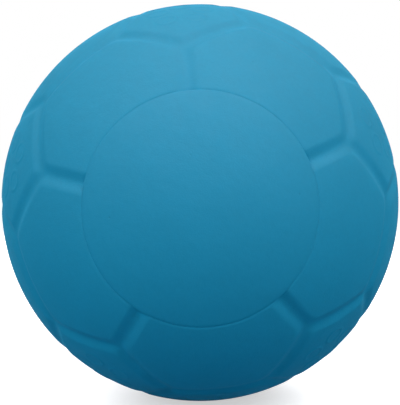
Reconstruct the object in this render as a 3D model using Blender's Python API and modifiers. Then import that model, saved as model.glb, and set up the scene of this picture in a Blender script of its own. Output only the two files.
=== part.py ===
"""Floating dog ball: two bonded half shells with football seams, two inlaid round panels and a vent plug.

Units are metres. The origin is the ball's centre, +Z is up and the front panel faces -Y.
Every piece is modelled about the panel axis, its own Z, with the front panel at +Z, and the empty
panel_axis lays that axis along the ground.
"""

import math

import bmesh
import bpy
from mathutils import Matrix

# Ball and wall
BALL_DIAMETER = 0.2032
SHELL_WALL = 0.006

# Seams: 12 pentagons and 20 hexagons drawn on the sphere by soft grooves
GROOVE_WIDTH = 0.011
GROOVE_DEPTH = 0.0013

# Near the joint the seams are shallower, so that each half draws straight out of its mould
JOINT_GROOVE_DEPTH = 0.0007
SHALLOWER_FROM = math.radians(56)
SHALLOWEST_FROM = math.radians(78)

# Seam pattern: a pentagon's corner from its centre, and the turn of the pattern about the panel axis
PENTAGON_CORNER_ANGLE = math.radians(18.8)
SEAM_TURN = math.radians(23.8)

# Round panels, inlaid in the outer part of the wall
PANEL_DIAMETER = 0.0992
PANEL_THICKNESS = 0.0025
PANEL_LINE_GAP = 0.0004

# Lap joint at the equator: a spigot on the front shell enters a rebate in the rear one
SPIGOT_LENGTH = 0.005
SPIGOT_THICKNESS = 0.0024

# Vent plug on the panel axis at the back
VENT_BORE_DIAMETER = 0.007
PLUG_HEAD_DIAMETER = 0.013
PLUG_HEAD_THICKNESS = 0.001
PLUG_BARB_OVERLAP = 0.0012
PLUG_BARB_LENGTH = 0.005
PLUG_TIP_DIAMETER = 0.005

# Gap that a bonded or pushed-in piece keeps to its seat
SEAT_GAP = 0.0003

# Facets
TURN_STEPS = 48
PLUG_STEPS = 24
ARC_STEP = math.radians(8)
PANEL_CUTS = 4
GROOVE_RING_SHARES = (0.16, 0.44)

# Values that follow from the sizes above
BALL_RADIUS = BALL_DIAMETER / 2
CHAMBER_RADIUS = BALL_RADIUS - SHELL_WALL
PANEL_BACK_RADIUS = BALL_RADIUS - PANEL_THICKNESS
SEAT_RADIUS = PANEL_BACK_RADIUS - SEAT_GAP
PANEL_RIM = PANEL_DIAMETER / 2
SEAT_RIM = PANEL_RIM + PANEL_LINE_GAP
JOINT_HALF_GAP = SEAT_GAP / 2
SPIGOT_RADIUS = CHAMBER_RADIUS + SPIGOT_THICKNESS
REBATE_RADIUS = SPIGOT_RADIUS + SEAT_GAP
VENT_BORE_RADIUS = VENT_BORE_DIAMETER / 2
HEAD_SEAT_RADIUS = PLUG_HEAD_DIAMETER / 2 + SEAT_GAP
HEAD_SEAT_LEVEL = BALL_RADIUS - PLUG_HEAD_THICKNESS - SEAT_GAP
TOOL_REACH = 1.2 * BALL_RADIUS

# Angle between neighbouring pentagon centres, which are the corners of an icosahedron
PENTAGON_SPACING = math.atan(2)

# Linear colours of the soft moulded plastic
SKIN_BLUE = (0.011, 0.248, 0.43, 1)
PANEL_BLUE = (0.011, 0.247, 0.428, 1)
PLUG_BLUE = (0.007, 0.16, 0.3, 1)
SATIN = 0.6


def clear_scene():
    for item in list(bpy.data.objects):
        bpy.data.objects.remove(item)


def new_collection(name):
    collection = bpy.data.collections.new(name)
    bpy.context.scene.collection.children.link(collection)
    return collection


def soft_plastic(name, colour):
    material = bpy.data.materials.new(name)
    material.use_nodes = True
    shader = material.node_tree.nodes["Principled BSDF"]
    shader.inputs["Base Color"].default_value = colour
    shader.inputs["Roughness"].default_value = SATIN
    shader.inputs["Metallic"].default_value = 0
    return material


def panel_axis(collection):
    """The empty that lays the panel axis along -Y and turns the seams as the ball lies."""
    axis = bpy.data.objects.new("panel_axis", None)
    collection.objects.link(axis)
    axis.matrix_world = Matrix.Rotation(math.pi / 2, 4, "X") @ Matrix.Rotation(SEAM_TURN, 4, "Z")
    return axis


def place(name, mesh, collection, axis):
    piece = bpy.data.objects.new(name, mesh)
    collection.objects.link(piece)
    piece.parent = axis
    return piece


def finish(piece, material):
    piece.data.materials.clear()
    piece.data.materials.append(material)


def height_at(sphere_radius, distance):
    """Height above the equator of a sphere's surface, at this distance from the panel axis."""
    return math.sqrt(sphere_radius**2 - distance**2)


def arc(sphere_radius, start, end):
    """Points (distance from axis, height) along a sphere between two angles from the +Z pole."""
    count = max(2, math.ceil(abs(end - start) / ARC_STEP))
    angles = [start + (end - start) * step / count for step in range(count + 1)]
    return [(sphere_radius * math.sin(angle), sphere_radius * math.cos(angle)) for angle in angles]


def front_arc(sphere_radius, start_distance, end_distance):
    """An arc on the front half, between two distances from the axis."""
    start = math.asin(start_distance / sphere_radius)
    end = math.asin(end_distance / sphere_radius)
    return arc(sphere_radius, start, end)


def rear_arc(sphere_radius, start_distance, end_distance):
    return [(distance, -height) for distance, height in front_arc(sphere_radius, start_distance, end_distance)]


def turned_mesh(name, outline, closed):
    """The edges of an outline, as (distance from axis, height), that a Screw turns about Z."""
    mesh = bpy.data.meshes.new(name)
    bm = bmesh.new()
    points = [bm.verts.new((distance, 0, height)) for distance, height in outline]
    for first, second in zip(points, points[1:]):
        bm.edges.new((first, second))
    if closed:
        bm.edges.new((points[-1], points[0]))
    bm.to_mesh(mesh)
    bm.free()
    return mesh


def turn(piece, steps):
    screw = piece.modifiers.new("turn", "SCREW")
    screw.axis = "Z"
    screw.angle = math.tau
    screw.steps = steps
    screw.render_steps = steps
    screw.use_merge_vertices = True
    screw.merge_threshold = 0.00001
    screw.use_smooth_shade = True


def corner_share():
    """Where a pentagon's corner lies along an icosahedron's straight edge, as a share of that edge."""
    edge = 2 * math.sin(PENTAGON_SPACING / 2)
    lean = (math.pi - PENTAGON_SPACING) / 2
    slope = math.tan(PENTAGON_CORNER_ANGLE)
    return slope / (edge * (math.sin(lean) + slope * math.cos(lean)))


def angle_to_seam(direction, seam):
    """Angle from a direction to an arc of a great circle between two directions."""
    start, end = seam
    pole = start.cross(end).normalized()
    within = pole.cross(start).dot(direction) > 0 and end.cross(pole).dot(direction) > 0
    if within:
        return math.asin(min(1, abs(direction.dot(pole))))
    return min(direction.angle(start), direction.angle(end))


def seam_depth(direction):
    """Depth in the middle of a seam that runs through this direction."""
    from_axis = math.acos(min(1, abs(direction.z)))
    share = (from_axis - SHALLOWER_FROM) / (SHALLOWEST_FROM - SHALLOWER_FROM)
    share = min(1, max(0, share))
    smooth = share * share * (3 - 2 * share)
    return GROOVE_DEPTH + (JOINT_GROOVE_DEPTH - GROOVE_DEPTH) * smooth


def groove_depth(direction, seams):
    """How far the seam grooves sink the surface in this direction: a half cosine across the groove."""
    distance = BALL_RADIUS * min(angle_to_seam(direction, seam) for seam in seams)
    half_width = GROOVE_WIDTH / 2
    if distance >= half_width:
        return 0
    return seam_depth(direction) * (1 + math.cos(math.pi * distance / half_width)) / 2


def ring_thicknesses():
    """Widths of the strips between the groove's centre line and its rings, from the middle outwards."""
    places = [0, *(share * GROOVE_WIDTH for share in GROOVE_RING_SHARES)]
    return [outer - inner for inner, outer in zip(places, places[1:])]


def grooved_ball_mesh():
    """The whole outer skin as one ball: a truncated icosahedron blown up to a sphere, with sunk seams."""
    bm = bmesh.new()
    bmesh.ops.create_icosphere(bm, subdivisions=1, radius=BALL_RADIUS)
    bmesh.ops.bevel(
        bm,
        geom=bm.verts[:],
        offset=100 * corner_share(),
        offset_type="PERCENT",
        affect="VERTICES",
        segments=1,
    )
    seams = [tuple(corner.co.normalized() for corner in edge.verts) for edge in bm.edges]
    panels = bm.faces[:]
    rungs = set()
    for thickness in ring_thicknesses():
        older = set(bm.edges)
        ring = bmesh.ops.inset_individual(bm, faces=panels, thickness=thickness, use_even_offset=True)
        newer = {edge for face in ring["faces"] for edge in face.edges} - older
        rungs |= newer - {edge for panel in panels for edge in panel.edges}
    bmesh.ops.poke(bm, faces=panels)
    along = [edge for edge in bm.edges if edge not in rungs]
    bmesh.ops.subdivide_edges(bm, edges=along, cuts=PANEL_CUTS, use_grid_fill=True)
    for point in bm.verts:
        direction = point.co.normalized()
        point.co = direction * (BALL_RADIUS - groove_depth(direction, seams))
    bmesh.ops.triangulate(bm, faces=bm.faces[:])
    bmesh.ops.recalc_face_normals(bm, faces=bm.faces[:])
    mesh = bpy.data.meshes.new("grooved_ball")
    bm.to_mesh(mesh)
    bm.free()
    mesh.shade_smooth()
    return mesh


def front_outline():
    """Outline of all the room that the front shell fills, carried on past the ball's surface."""
    chamber_end = math.pi / 2 + math.asin(SPIGOT_LENGTH / CHAMBER_RADIUS)
    seat = front_arc(SEAT_RADIUS, 0, SEAT_RIM)
    outside = [
        (SEAT_RIM, TOOL_REACH),
        (TOOL_REACH, TOOL_REACH),
        (TOOL_REACH, JOINT_HALF_GAP),
    ]
    spigot = [
        (SPIGOT_RADIUS, JOINT_HALF_GAP),
        (SPIGOT_RADIUS, -SPIGOT_LENGTH),
    ]
    chamber = arc(CHAMBER_RADIUS, chamber_end, 0)
    return seat + outside + spigot + chamber


def rear_outline():
    """The same for the rear shell, with the rebate for the spigot and the vent bore along the axis."""
    rebate_floor = -SPIGOT_LENGTH - SEAT_GAP
    chamber_start = math.pi - math.asin(VENT_BORE_RADIUS / CHAMBER_RADIUS)
    chamber_end = math.acos(rebate_floor / CHAMBER_RADIUS)
    chamber = arc(CHAMBER_RADIUS, chamber_start, chamber_end)
    rebate = [
        (REBATE_RADIUS, rebate_floor),
        (REBATE_RADIUS, -JOINT_HALF_GAP),
    ]
    outside = [
        (TOOL_REACH, -JOINT_HALF_GAP),
        (TOOL_REACH, -TOOL_REACH),
        (SEAT_RIM, -TOOL_REACH),
    ]
    seat = rear_arc(SEAT_RADIUS, SEAT_RIM, VENT_BORE_RADIUS)
    return chamber + rebate + outside + seat


def make_form(name, outline, closed, cutters, axis):
    """A turned solid that says which part of the ball a shell keeps."""
    form = place(name, turned_mesh(name, outline, closed), cutters, axis)
    turn(form, TURN_STEPS)
    form.hide_render = True
    form.display_type = "WIRE"
    return form


def make_shell(name, ball, form, parts, axis):
    """The part of the grooved ball that lies inside a form."""
    shell = place(name, ball, parts, axis)
    keep = shell.modifiers.new("half_of_ball", "BOOLEAN")
    keep.operation = "INTERSECT"
    keep.solver = "EXACT"
    keep.object = form
    return shell


def make_front_panel(parts, axis):
    face = front_arc(BALL_RADIUS, 0, PANEL_RIM)
    back = front_arc(PANEL_BACK_RADIUS, PANEL_RIM, 0)
    panel = place("front_panel", turned_mesh("front_panel", face + back, False), parts, axis)
    turn(panel, TURN_STEPS)
    return panel


def make_rear_panel(parts, axis):
    """The rear panel, with a bore for the plug's stem and a seat that lets its head lie flush."""
    back = rear_arc(PANEL_BACK_RADIUS, VENT_BORE_RADIUS, PANEL_RIM)
    face = rear_arc(BALL_RADIUS, PANEL_RIM, HEAD_SEAT_RADIUS)
    head_seat = [
        (HEAD_SEAT_RADIUS, -HEAD_SEAT_LEVEL),
        (VENT_BORE_RADIUS, -HEAD_SEAT_LEVEL),
    ]
    panel = place("rear_panel", turned_mesh("rear_panel", back + face + head_seat, True), parts, axis)
    turn(panel, TURN_STEPS)
    return panel


def make_vent_plug(parts, axis):
    """A push-in plug: barbed tip inside the air chamber, stem in the bore, domed head flush outside."""
    shoulder = -height_at(CHAMBER_RADIUS, VENT_BORE_RADIUS) + SEAT_GAP
    tip = shoulder + PLUG_BARB_LENGTH
    stem_radius = VENT_BORE_RADIUS - SEAT_GAP
    barb_radius = VENT_BORE_RADIUS + PLUG_BARB_OVERLAP
    head_radius = PLUG_HEAD_DIAMETER / 2
    head_back = -HEAD_SEAT_LEVEL - SEAT_GAP
    barb_and_stem = [
        (0, tip),
        (PLUG_TIP_DIAMETER / 2, tip),
        (barb_radius, shoulder),
        (stem_radius, shoulder),
        (stem_radius, head_back),
        (head_radius, head_back),
    ]
    dome = rear_arc(BALL_RADIUS, head_radius, 0)
    plug = place("vent_plug", turned_mesh("vent_plug", barb_and_stem + dome, False), parts, axis)
    turn(plug, PLUG_STEPS)
    return plug


def main():
    clear_scene()
    parts = new_collection("floating_dog_ball")
    cutters = new_collection("cutters")
    axis = panel_axis(parts)
    skin = soft_plastic("skin_blue", SKIN_BLUE)
    inlay = soft_plastic("panel_blue", PANEL_BLUE)
    stopper = soft_plastic("plug_blue", PLUG_BLUE)
    ball = grooved_ball_mesh()
    front_half = make_form("front_form", front_outline(), False, cutters, axis)
    rear_half = make_form("rear_form", rear_outline(), True, cutters, axis)
    finish(make_shell("front_shell", ball, front_half, parts, axis), skin)
    finish(make_shell("rear_shell", ball, rear_half, parts, axis), skin)
    finish(make_front_panel(parts, axis), inlay)
    finish(make_rear_panel(parts, axis), inlay)
    finish(make_vent_plug(parts, axis), stopper)


main()
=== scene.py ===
"""Looks of the floating dog ball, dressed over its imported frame."""

import math

import bpy
import numpy as np
from mathutils import Matrix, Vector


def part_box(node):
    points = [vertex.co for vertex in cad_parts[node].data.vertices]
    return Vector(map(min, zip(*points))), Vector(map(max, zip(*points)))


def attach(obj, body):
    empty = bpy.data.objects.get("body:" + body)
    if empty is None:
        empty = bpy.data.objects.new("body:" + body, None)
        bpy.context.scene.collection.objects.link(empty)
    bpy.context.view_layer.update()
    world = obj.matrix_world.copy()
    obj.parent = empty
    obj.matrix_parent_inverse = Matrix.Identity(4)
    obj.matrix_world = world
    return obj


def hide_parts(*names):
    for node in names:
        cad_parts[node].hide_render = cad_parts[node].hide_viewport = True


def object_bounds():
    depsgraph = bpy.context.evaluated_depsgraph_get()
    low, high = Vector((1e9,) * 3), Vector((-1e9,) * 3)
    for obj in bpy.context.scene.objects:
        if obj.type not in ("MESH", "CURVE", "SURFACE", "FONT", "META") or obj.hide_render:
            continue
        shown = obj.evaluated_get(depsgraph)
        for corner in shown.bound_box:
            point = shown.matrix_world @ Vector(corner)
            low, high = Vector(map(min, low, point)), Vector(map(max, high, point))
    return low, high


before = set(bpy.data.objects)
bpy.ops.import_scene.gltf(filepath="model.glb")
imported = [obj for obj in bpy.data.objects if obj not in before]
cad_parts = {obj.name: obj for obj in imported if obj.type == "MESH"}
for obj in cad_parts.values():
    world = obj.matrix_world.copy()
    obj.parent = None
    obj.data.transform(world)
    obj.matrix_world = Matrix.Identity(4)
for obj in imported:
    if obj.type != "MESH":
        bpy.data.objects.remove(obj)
cad_low, cad_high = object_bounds()


# Half shells
# The skin is moulded in two halves from soft foamed plastic, about 6 mm thick and self-coloured blue.
# Soft football seams, shallower towards the joint, and low raised rings come straight from the mould.
# The front half's spigot is bonded into the rear half's rebate, and each half has a seat for a panel.

ball_radius = -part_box("front_panel")[0].y
shell_wall = 0.006
chamber_radius = ball_radius - shell_wall
bond_gap = 0.0003
joint_gap = 0.00008
half_gap = joint_gap / 2

# The line round a panel is left open by lip_gap, at the foot of the falls on its two sides.
panel_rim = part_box("front_panel")[1].x
panel_thickness = 0.0025
panel_back = ball_radius - panel_thickness
panel_line_gap = 0.0004
lip_gap = 0.00003
seat_rim = panel_rim + (panel_line_gap + lip_gap) / 2
seat_radius = panel_back - bond_gap

spigot_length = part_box("front_shell")[1].y
spigot_thickness = 0.0024
spigot_radius = chamber_radius + spigot_thickness
rebate_radius = spigot_radius + bond_gap
rebate_floor = spigot_length + bond_gap
vent_radius = 0.0035

groove_width = 0.011
groove_depth = 0.0013
joint_groove_depth = 0.00045
shallow_from = math.radians(60)
shallow_to = math.radians(76)
junction_round = 0.0007
faintest_closeness = 1e-12
pentagon_corner = math.radians(18.8)
seam_turn = math.radians(23.8)
pentagon_spacing = math.atan(2)
own_centre_cosine = 0.9

ring_mark_radius = 0.0046
ring_mark_half_width = 0.0011
ring_mark_height = 0.0003
ring_mark_distance = 0.0112

line_edge_width = 0.0015
line_edge_drop = 0.00022
joint_edge_round = 0.0003
sharp_edge = math.radians(50)
edge_row_count = 7
skin_columns = 900
skin_row_step = math.radians(0.4)
chamber_row_step = math.radians(5)
axis_tolerance = 1e-6

# The ball lies on its side: the panel axis, Z while modelling, points out of the photograph along -Y.
lying = Matrix.Rotation(math.pi / 2, 3, "X") @ Matrix.Rotation(seam_turn, 3, "Z")


def direction(polar, azimuth):
    """Unit vectors at an angle from the panel axis and an angle around it."""
    return np.stack(
        [np.sin(polar) * np.cos(azimuth), np.sin(polar) * np.sin(azimuth), np.cos(polar) + 0 * azimuth],
        axis=-1,
    )


def pentagon_centres():
    """The panels' two pentagons, then the five of the front half and the five of the rear half."""
    fifths = np.arange(5) * math.tau / 5
    front = direction(np.full(5, pentagon_spacing), fifths)
    rear = direction(np.full(5, math.pi - pentagon_spacing), fifths + math.pi / 5)
    poles = np.array([[0, 0, 1.0], [0, 0, -1.0]])
    return np.vstack([poles, front, rear])


def along_arc(start, end, angle):
    """The point this far from start on the great circle to end."""
    sideways = end - start * np.dot(start, end)
    return start * math.cos(angle) + sideways / np.linalg.norm(sideways) * math.sin(angle)


def neighbours(centre, centres):
    """The five pentagon centres next to one, in order around it, without itself."""
    near = [other for other in centres if 0 < centre @ other < own_centre_cosine]
    first = near[0] - centre * (near[0] @ centre)
    second = np.cross(centre, first)
    return sorted(near, key=lambda other: math.atan2(other @ second, other @ first))


def seam_arcs():
    """Both ends of every seam: the sides of the pentagons, and the seams that join their corners."""
    centres = pentagon_centres()
    arcs = []
    for centre in centres:
        ring = neighbours(centre, centres)
        corners = [along_arc(centre, other, pentagon_corner) for other in ring]
        arcs += list(zip(corners, corners[1:] + corners[:1]))
        for corner, other in zip(corners, ring):
            if tuple(centre) < tuple(other):
                arcs.append((corner, along_arc(other, centre, pentagon_corner)))
    return arcs


def distance_to_seams(points):
    """Distance over the ball's surface from unit vectors to the nearest seam, rounded where seams meet."""
    closeness = np.zeros(points.shape[:-1])
    for start, end in seam_arcs():
        pole = np.cross(start, end)
        pole /= np.linalg.norm(pole)
        beside = np.arcsin(np.clip(np.abs(points @ pole), 0, 1))
        past_ends = np.arccos(np.clip(np.maximum(points @ start, points @ end), -1, 1))
        within = (points @ np.cross(pole, start) > 0) & (points @ np.cross(end, pole) > 0)
        away = np.where(within, beside, past_ends) * ball_radius
        closeness += np.exp(-away / junction_round)
    return -junction_round * np.log(np.maximum(closeness, faintest_closeness))


def smooth_step(share):
    share = np.clip(share, 0, 1)
    return share * share * (3 - 2 * share)


def ring_mark_centres():
    """Five low raised rings on each pentagon that no panel covers, between its corners."""
    centres = pentagon_centres()
    marks = []
    for centre in centres[2:]:
        ring = neighbours(centre, centres)
        sides = [first + second for first, second in zip(ring, ring[1:] + ring[:1])]
        marks += [along_arc(centre, side, ring_mark_distance / ball_radius) for side in sides]
    return marks


def skin_height(points):
    """How far the skin stands above the plain sphere: below it in the seams, above it on the ring marks."""
    across = np.clip(distance_to_seams(points) / (groove_width / 2), 0, 1)
    from_pole = np.arccos(np.clip(np.abs(points[..., 2]), 0, 1))
    shallow = smooth_step((from_pole - shallow_from) / (shallow_to - shallow_from))
    depth = groove_depth + (joint_groove_depth - groove_depth) * shallow
    height = -depth * (1 + np.cos(math.pi * across)) / 2
    for mark in ring_mark_centres():
        away = np.arccos(np.clip(points @ mark, -1, 1)) * ball_radius
        off_ridge = np.abs(away - ring_mark_radius)
        height += ring_mark_height * smooth_step(1 - off_ridge / ring_mark_half_width)
    return height


def edge_drop(distance, radius):
    """How far a rounded edge falls below its face, at a distance from the edge."""
    inside = np.clip(radius - distance, 0, radius)
    return radius - np.sqrt(radius**2 - inside**2)


def line_drop(distance):
    """The soft, shallow fall of the skin and of a panel towards the fine line between them."""
    return line_edge_drop * np.clip(1 - distance / line_edge_width, 0, 1) ** 2


def circle(rho, z, columns):
    """A ring of points about the panel axis, or its one point on the axis."""
    if rho < axis_tolerance:
        return np.array([[0, 0, z]])
    turn = np.arange(columns) * math.tau / columns
    return np.stack([rho * np.cos(turn), rho * np.sin(turn), np.full(columns, z)], axis=-1)


def round_rows(radius, start, end, step, columns):
    """Rings on a sphere between two angles from the front pole."""
    count = max(2, math.ceil(abs(end - start) / step))
    angles = np.linspace(start, end, count + 1)
    return [circle(radius * math.sin(angle), radius * math.cos(angle), columns) for angle in angles]


def piece_from_rings(name, rings, closed):
    """One closed mesh through rings of points: from axis to axis, or round to the first ring again."""
    starts = np.cumsum([0] + [len(ring) for ring in rings])
    last = len(rings) - 1
    pairs = [(row, row + 1) for row in range(last)]
    if closed:
        pairs.append((last, 0))

    def corners(row, around):
        return starts[row] + (around if len(rings[row]) > 1 else 0 * around)

    faces = []
    for upper, lower in pairs:
        here = np.arange(max(len(rings[upper]), len(rings[lower])))
        there = np.roll(here, -1)
        loop = [corners(upper, here), corners(lower, here)]
        if len(rings[lower]) > 1:
            loop.append(corners(lower, there))
        if len(rings[upper]) > 1:
            loop.append(corners(upper, there))
        faces += np.stack(loop, axis=-1).tolist()
    points = np.vstack(rings) @ np.array(lying).T
    mesh = bpy.data.meshes.new(name)
    mesh.from_pydata(points.tolist(), [], faces)
    mesh.validate()
    mesh.shade_smooth()
    mesh.set_sharp_from_angle(angle=sharp_edge)
    piece = bpy.data.objects.new(name, mesh)
    bpy.context.scene.collection.objects.link(piece)
    return piece


def fine_then_even(fine_length, even_step, length):
    """Distances from an edge: close together over its rounding, then even."""
    fine = fine_length * (1 - np.cos(np.linspace(0, math.pi / 2, edge_row_count)))
    even = np.linspace(fine_length, length, math.ceil((length - fine_length) / even_step) + 1)
    return np.concatenate([fine, even[1:]])


def skin_rings():
    """The outer skin's front half, from the rim of the panel's seat to the joint, and its rear half.

    The rear half has the same rings, mirrored, with its own seams.
    """
    rim_angle = math.asin(seat_rim / ball_radius)
    joint_angle = math.acos(half_gap / ball_radius)
    middle = (rim_angle + joint_angle) / 2
    reach = (middle - rim_angle) * ball_radius
    step = skin_row_step * ball_radius
    from_rim = rim_angle + fine_then_even(line_edge_width, step, reach) / ball_radius
    from_joint = joint_angle - fine_then_even(joint_edge_round, step, reach) / ball_radius
    polar = np.concatenate([from_rim, from_joint[::-1][1:]])
    azimuth = np.arange(skin_columns) * math.tau / skin_columns
    drop = line_drop((polar - rim_angle) * ball_radius)
    drop += edge_drop((joint_angle - polar) * ball_radius, joint_edge_round)
    # Near the seat the seams sink along the panel axis, so that the seat's wall stays straight.
    leaning = smooth_step((polar - rim_angle) * ball_radius / groove_width)[:, None]
    halves = []
    for facing in (1, -1):
        around = direction(polar[:, None], azimuth[None, :]) * np.array([1, 1, facing])
        radius = ball_radius + skin_height(around) - drop[:, None]
        rho = np.sin(polar)[:, None] * (ball_radius + (radius - ball_radius) * leaning)
        z = facing * np.sqrt(np.maximum(radius**2 - rho**2, half_gap**2))
        rings = np.stack([rho * np.cos(azimuth), rho * np.sin(azimuth), z], axis=-1)
        halves.append(list(rings))
    return halves


def shell_ring(rho, z):
    return circle(rho, z, skin_columns)


def shell_rows(radius, start, end):
    return round_rows(radius, start, end, chamber_row_step, skin_columns)


def height_on(radius, rho):
    return math.sqrt(radius**2 - rho**2)


front_skin, rear_skin = skin_rings()
seat_angle = math.asin(seat_rim / seat_radius)

front_rings = shell_rows(seat_radius, 0, seat_angle)
front_rings += front_skin
front_rings += [
    shell_ring(spigot_radius, half_gap),
    shell_ring(spigot_radius, -spigot_length),
]
chamber_end = math.pi / 2 + math.asin(spigot_length / chamber_radius)
front_rings += shell_rows(chamber_radius, chamber_end, 0)
front_shell = piece_from_rings("front_shell_skin", front_rings, False)

rear_rings = rear_skin[::-1]
vent_at_seat = math.pi - math.asin(vent_radius / seat_radius)
rear_rings += shell_rows(seat_radius, math.pi - seat_angle, vent_at_seat)
vent_at_chamber = math.pi - math.asin(vent_radius / chamber_radius)
rebate_angle = math.acos(-rebate_floor / chamber_radius)
rear_rings += shell_rows(chamber_radius, vent_at_chamber, rebate_angle)
rear_rings += [
    shell_ring(rebate_radius, -rebate_floor),
    shell_ring(rebate_radius, -half_gap),
]
rear_shell = piece_from_rings("rear_shell_skin", rear_rings, True)

# What all the ball's plastics share: features to the metre, their shares of the colour, and depths.
cloud_scale = 26.0
cloud_share = 0.55
pigment_scale = 720.0
pigment_share = 0.45
deepest_at = 0.3
lightest_at = 0.7
grain_scale = 1500.0
peel_scale = 170.0
peel_depth = 0.00018
roughness_spread = 0.05
pit_scale = 75.0
pit_floor = 0.02
pit_brim = 0.045
# Inside a pit the colour falls to this share: painted shade in the hollow.
pit_painted_shade = 0.9
pit_depth = 0.0006
sheen_level = 0.04

# The sockets of a node that mixes two colours
mix_share, mix_first, mix_second, mix_result = 0, 6, 7, 2


class NodeBoard:
    """The nodes of a material or a world, added and wired in the order that they are thought of."""

    def __init__(self, owner):
        owner.use_nodes = True
        self.tree = owner.node_tree

    def add(self, kind, settings=None, **inputs):
        node = self.tree.nodes.new(kind)
        for key, value in (settings or {}).items():
            setattr(node, key, value)
        for key, value in inputs.items():
            self.feed(node, key.replace("_", " "), value)
        return node

    def feed(self, node, socket, value):
        target = node.inputs[socket]
        if isinstance(value, bpy.types.NodeSocket):
            self.tree.links.new(value, target)
        else:
            target.default_value = value


def moulded_plastic(name, deep, light, rough, grain_depth):
    """Self-coloured soft plastic: clouded pigment, a fine mould grain, a slight orange peel and rare pits."""
    material = bpy.data.materials.new(name)
    board = NodeBoard(material)
    shader = board.tree.nodes["Principled BSDF"]
    place = board.add("ShaderNodeTexCoord").outputs["Object"]
    clouds = board.add("ShaderNodeTexNoise", Vector=place, Scale=cloud_scale, Detail=3.0, Roughness=0.55)
    pigment = board.add("ShaderNodeTexNoise", Vector=place, Scale=pigment_scale, Detail=2.0, Roughness=0.6)
    grain = board.add("ShaderNodeTexNoise", Vector=place, Scale=grain_scale, Detail=2.0, Roughness=0.5)
    peel = board.add("ShaderNodeTexNoise", Vector=place, Scale=peel_scale, Detail=1.0, Roughness=0.4)
    pits = board.add("ShaderNodeTexVoronoi", Vector=place, Scale=pit_scale, Randomness=1.0)
    shared_clouds = board.add("ShaderNodeMath", {"operation": "MULTIPLY"})
    board.feed(shared_clouds, 0, clouds.outputs["Fac"])
    board.feed(shared_clouds, 1, cloud_share)
    both = board.add("ShaderNodeMath", {"operation": "MULTIPLY_ADD"})
    board.feed(both, 0, pigment.outputs["Fac"])
    board.feed(both, 1, pigment_share)
    board.feed(both, 2, shared_clouds.outputs[0])
    colour = board.add("ShaderNodeValToRGB", Fac=both.outputs[0])
    deepest, lightest = colour.color_ramp.elements
    deepest.position = deepest_at
    deepest.color = (*deep, 1)
    lightest.position = lightest_at
    lightest.color = (*light, 1)
    # The pits are sunk by a bump and also darkened in colour: painted shade in their hollows.
    pit = board.add("ShaderNodeMapRange", Value=pits.outputs["Distance"])
    board.feed(pit, "From Min", pit_floor)
    board.feed(pit, "From Max", pit_brim)
    board.feed(pit, "To Min", pit_painted_shade)
    pit_shaded_colour = board.add("ShaderNodeMix", {"data_type": "RGBA", "blend_type": "MULTIPLY"})
    board.feed(pit_shaded_colour, mix_share, 1.0)
    board.feed(pit_shaded_colour, mix_first, colour.outputs["Color"])
    board.feed(pit_shaded_colour, mix_second, pit.outputs["Result"])
    board.feed(shader, "Base Color", pit_shaded_colour.outputs[mix_result])
    roughness = board.add("ShaderNodeMapRange", Value=peel.outputs["Fac"])
    board.feed(roughness, "To Min", rough - roughness_spread)
    board.feed(roughness, "To Max", rough + roughness_spread)
    board.feed(shader, "Roughness", roughness.outputs["Result"])
    low = board.add("ShaderNodeBump", Height=peel.outputs["Fac"], Strength=1.0, Distance=peel_depth)
    fine = board.add("ShaderNodeBump", Height=grain.outputs["Fac"], Strength=1.0, Distance=grain_depth)
    board.feed(fine, "Normal", low.outputs["Normal"])
    pitted = board.add("ShaderNodeBump", Height=pit.outputs["Result"], Strength=1.0, Distance=pit_depth)
    board.feed(pitted, "Normal", fine.outputs["Normal"])
    board.feed(shader, "Normal", pitted.outputs["Normal"])
    board.feed(shader, "Specular IOR Level", sheen_level)
    return material


skin_plastic = moulded_plastic(
    "moulded_blue_skin",
    deep=(0.0045, 0.237, 0.395),
    light=(0.006, 0.261, 0.432),
    rough=0.8,
    grain_depth=0.00008,
)
for shell, node in ((front_shell, "front_shell"), (rear_shell, "rear_shell")):
    shell.data.materials.append(skin_plastic)
    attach(shell, "root")
    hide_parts(node)


# Round panels
# Smooth blue discs, curved to the ball and 2.5 mm thick, pressed and bonded into the seats.
# Their rims fall away slightly, so that a fine soft line shows all round. The rear one is bored for
# the vent plug, with a shallow seat that lets the plug's head lie flush.

panel_columns = 360
panel_row_step = math.radians(0.6)
panel_lip = panel_rim + (panel_line_gap - lip_gap) / 2
head_radius = 0.0065
head_seat_radius = head_radius + bond_gap
head_thickness = 0.001
head_seat_level = ball_radius - head_thickness - bond_gap


def panel_ring(rho, z):
    return circle(rho, z, panel_columns)


def panel_face(inner_rho):
    """Rings over a panel's outer face, from the rounded rim inwards."""
    rim_angle = math.asin(panel_lip / ball_radius)
    inner_angle = math.asin(inner_rho / ball_radius)
    reach = (rim_angle - inner_angle) * ball_radius
    distances = fine_then_even(line_edge_width, panel_row_step * ball_radius, reach)
    rings = []
    for distance in distances:
        radius = ball_radius - float(line_drop(distance))
        angle = rim_angle - distance / ball_radius
        rho = ball_radius * math.sin(angle)
        rings.append(panel_ring(rho, height_on(radius, rho)))
    return rings


def panel_inside(start, end):
    """Rings over a panel's inner face, between two angles from its axis."""
    return round_rows(panel_back, start, end, chamber_row_step, panel_columns)


def turned_to_back(rings):
    return [ring * np.array([1, 1, -1]) for ring in rings]


back_rim = math.asin(panel_lip / panel_back)
front_panel_rings = panel_face(0)[::-1] + panel_inside(back_rim, 0)
front_panel = piece_from_rings("front_panel_disc", front_panel_rings, False)

vent_at_back = math.asin(vent_radius / panel_back)
rear_panel_rings = turned_to_back(panel_face(head_seat_radius))
rear_panel_rings += [
    panel_ring(head_seat_radius, -head_seat_level),
    panel_ring(vent_radius, -head_seat_level),
]
rear_panel_rings += turned_to_back(panel_inside(vent_at_back, back_rim))
rear_panel = piece_from_rings("rear_panel_disc", rear_panel_rings, True)

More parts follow.
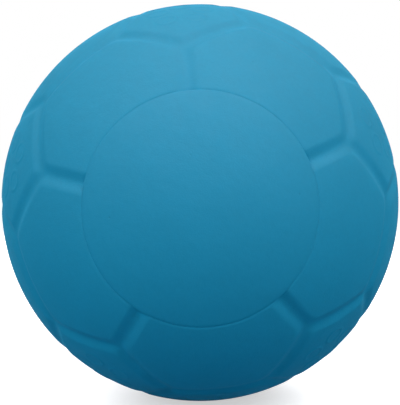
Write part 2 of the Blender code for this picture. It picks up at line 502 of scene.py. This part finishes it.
panel_plastic = moulded_plastic(
    "smooth_blue_panel",
    deep=(0.0045, 0.235, 0.392),
    light=(0.006, 0.256, 0.425),
    rough=0.78,
    grain_depth=0.00005,
)
for panel, node in ((front_panel, "front_panel"), (rear_panel, "rear_panel")):
    panel.data.materials.append(panel_plastic)
    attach(panel, "root")
    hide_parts(node)


# Vent plug
# A soft rubber push-in plug closes the hole that the moulding gas left by. Its barb snaps inside the
# shell, and its flush round head has a rounded rim and a shallow thumb dish.

plug_columns = 120
plug_stem = vent_radius - bond_gap
barb_overlap = 0.0012
plug_barb = vent_radius + barb_overlap
plug_tip = 0.0025
plug_barb_length = 0.005
head_edge_round = 0.0004
head_row_step = 0.00025
dish_radius = 0.0042
dish_depth = 0.0006
shoulder_level = height_on(chamber_radius, vent_radius) - bond_gap
tip_level = shoulder_level - plug_barb_length
head_back_level = head_seat_level + bond_gap


def plug_ring(rho, level):
    return circle(rho, -level, plug_columns)


def head_face():
    """Rings over the plug's head, from its rounded rim to the middle of the dish."""
    rings = []
    for distance in fine_then_even(head_edge_round, head_row_step, head_radius):
        rho = max(0, head_radius - float(distance))
        dish = dish_depth * float(smooth_step((dish_radius - rho) / (dish_radius / 2)))
        radius = ball_radius - float(edge_drop(distance, head_edge_round)) - dish
        rings.append(plug_ring(rho, height_on(radius, rho)))
    return rings


plug_rings = [
    plug_ring(0, tip_level),
    plug_ring(plug_tip, tip_level),
    plug_ring(plug_barb, shoulder_level),
    plug_ring(plug_stem, shoulder_level),
    plug_ring(plug_stem, head_back_level),
    plug_ring(head_radius, head_back_level),
]
vent_plug = piece_from_rings("vent_plug_rubber", plug_rings + head_face(), False)
plug_rubber = moulded_plastic(
    "matte_blue_rubber",
    deep=(0.0025, 0.15, 0.28),
    light=(0.0035, 0.17, 0.32),
    rough=0.82,
    grain_depth=0.00006,
)
vent_plug.data.materials.append(plug_rubber)
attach(vent_plug, "root")
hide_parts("vent_plug")


# Studio
# The ball lies on a pale floor in a plain white room, between two soft lights, with a weak fill in front
# and one behind. Two broad lights above show only as the plastic's soft sheen. Floor and room look white
# but throw less light back than they show. The floor keeps the ball's real shadow, and its glow is dimmed
# next to the ball into a painted contact shadow.

floor_half = 4.0
floor_bounce = (0.31, 0.36, 0.46)
floor_shown = (0.5, 0.5, 0.5)
floor_glow = (0.97, 0.97, 0.97)
# Reach, depth and samples of the painted contact shadow that ambient occlusion puts in the floor's glow.
shadow_reach = 0.02
shadow_depth = 0.45
shadow_samples = 16
no_light = (0, 0, 0)
room_bounce = (0.08, 0.088, 0.1)
room_shown = (1, 1, 1)

floor_corners = [(-1, -1), (1, -1), (1, 1), (-1, 1)]
floor_points = [(x * floor_half, y * floor_half, cad_low.z) for x, y in floor_corners]
floor_mesh = bpy.data.meshes.new("pale_floor")
floor_mesh.from_pydata(floor_points, [], [(0, 1, 2, 3)])
floor = bpy.data.objects.new("pale_floor", floor_mesh)
bpy.context.scene.collection.objects.link(floor)


def light_for(board, unseen, seen):
    """One colour for what is seen straight, mirrored or through something clear, another for other light."""
    path = board.add("ShaderNodeLightPath")
    straight = board.add("ShaderNodeMath", {"operation": "MAXIMUM"})
    board.feed(straight, 0, path.outputs["Is Camera Ray"])
    board.feed(straight, 1, path.outputs["Is Glossy Ray"])
    in_sight = board.add("ShaderNodeMath", {"operation": "MAXIMUM"})
    board.feed(in_sight, 0, straight.outputs[0])
    board.feed(in_sight, 1, path.outputs["Is Transmission Ray"])
    light = board.add("ShaderNodeMix", {"data_type": "RGBA"})
    board.feed(light, mix_share, in_sight.outputs[0])
    board.feed(light, mix_first, (*unseen, 1))
    board.feed(light, mix_second, (*seen, 1))
    return light.outputs[mix_result]


floor_paint = bpy.data.materials.new("pale_floor_paint")
floor_board = NodeBoard(floor_paint)
floor_shader = floor_board.tree.nodes["Principled BSDF"]
floor_board.feed(floor_shader, "Base Color", light_for(floor_board, floor_bounce, floor_shown))
floor_board.feed(floor_shader, "Emission Color", light_for(floor_board, no_light, floor_glow))
# Ambient occlusion dims the floor's glow next to the ball: a painted contact shadow beside the real one.
contact = floor_board.add("ShaderNodeAmbientOcclusion", {"samples": shadow_samples}, Distance=shadow_reach)
painted_contact_shadow = floor_board.add("ShaderNodeMapRange", Value=contact.outputs["AO"])
floor_board.feed(painted_contact_shadow, "To Min", 1 - shadow_depth)
floor_board.feed(floor_shader, "Emission Strength", painted_contact_shadow.outputs["Result"])
floor_board.feed(floor_shader, "Roughness", 1.0)
floor_board.feed(floor_shader, "Specular IOR Level", 0.0)
floor_mesh.materials.append(floor_paint)

room = bpy.data.worlds.new("white_room")
room_board = NodeBoard(room)
room_walls = room_board.tree.nodes["Background"]
room_board.feed(room_walls, "Color", light_for(room_board, room_bounce, room_shown))
bpy.context.scene.world = room

lamp_distance = 1.2
# Each lamp: degrees round the ball from the front, degrees up, width in metres and power in watts.
lamps = {
    "left_softbox": (-53, 29, 0.85, 8.1),
    "right_softbox": (44, 42, 0.85, 9.1),
    "front_fill": (26, 6, 0.6, 1.7),
    "back_fill": (196, 16, 0.6, 11.0),
    "left_sheen": (-32, 58, 1.4, 165.0),
    "right_sheen": (44, 58, 1.4, 155.0),
}
for name, (degrees_round, degrees_up, width, power) in lamps.items():
    azimuth = math.radians(degrees_round)
    elevation = math.radians(degrees_up)
    lamp_light = bpy.data.lights.new(name, "AREA")
    lamp_light.shape = "DISK"
    lamp_light.size = width
    lamp_light.energy = power
    lamp = bpy.data.objects.new(name, lamp_light)
    lamp.location = (
        lamp_distance * math.cos(elevation) * math.sin(azimuth),
        -lamp_distance * math.cos(elevation) * math.cos(azimuth),
        lamp_distance * math.sin(elevation),
    )
    lamp.rotation_euler = (math.pi / 2 - elevation, 0, azimuth)
    lamp.visible_glossy = name != "back_fill"
    lamp.visible_diffuse = not name.endswith("sheen")
    bpy.context.scene.collection.objects.link(lamp)

camera_distance = 4.19 * ball_radius
camera_elevation = math.radians(1.79)
lens_length = 71.8
sensor_width = 36
camera_lens = bpy.data.cameras.new("photo_camera")
camera_lens.lens = lens_length
camera_lens.sensor_width = sensor_width
camera = bpy.data.objects.new("photo_camera", camera_lens)
camera.location = (
    0,
    -camera_distance * math.cos(camera_elevation),
    camera_distance * math.sin(camera_elevation),
)
camera.rotation_euler = (math.pi / 2 - camera_elevation, 0, 0)
bpy.context.scene.collection.objects.link(camera)
bpy.context.scene.camera = camera
bpy.context.scene.view_settings.view_transform = "Standard"
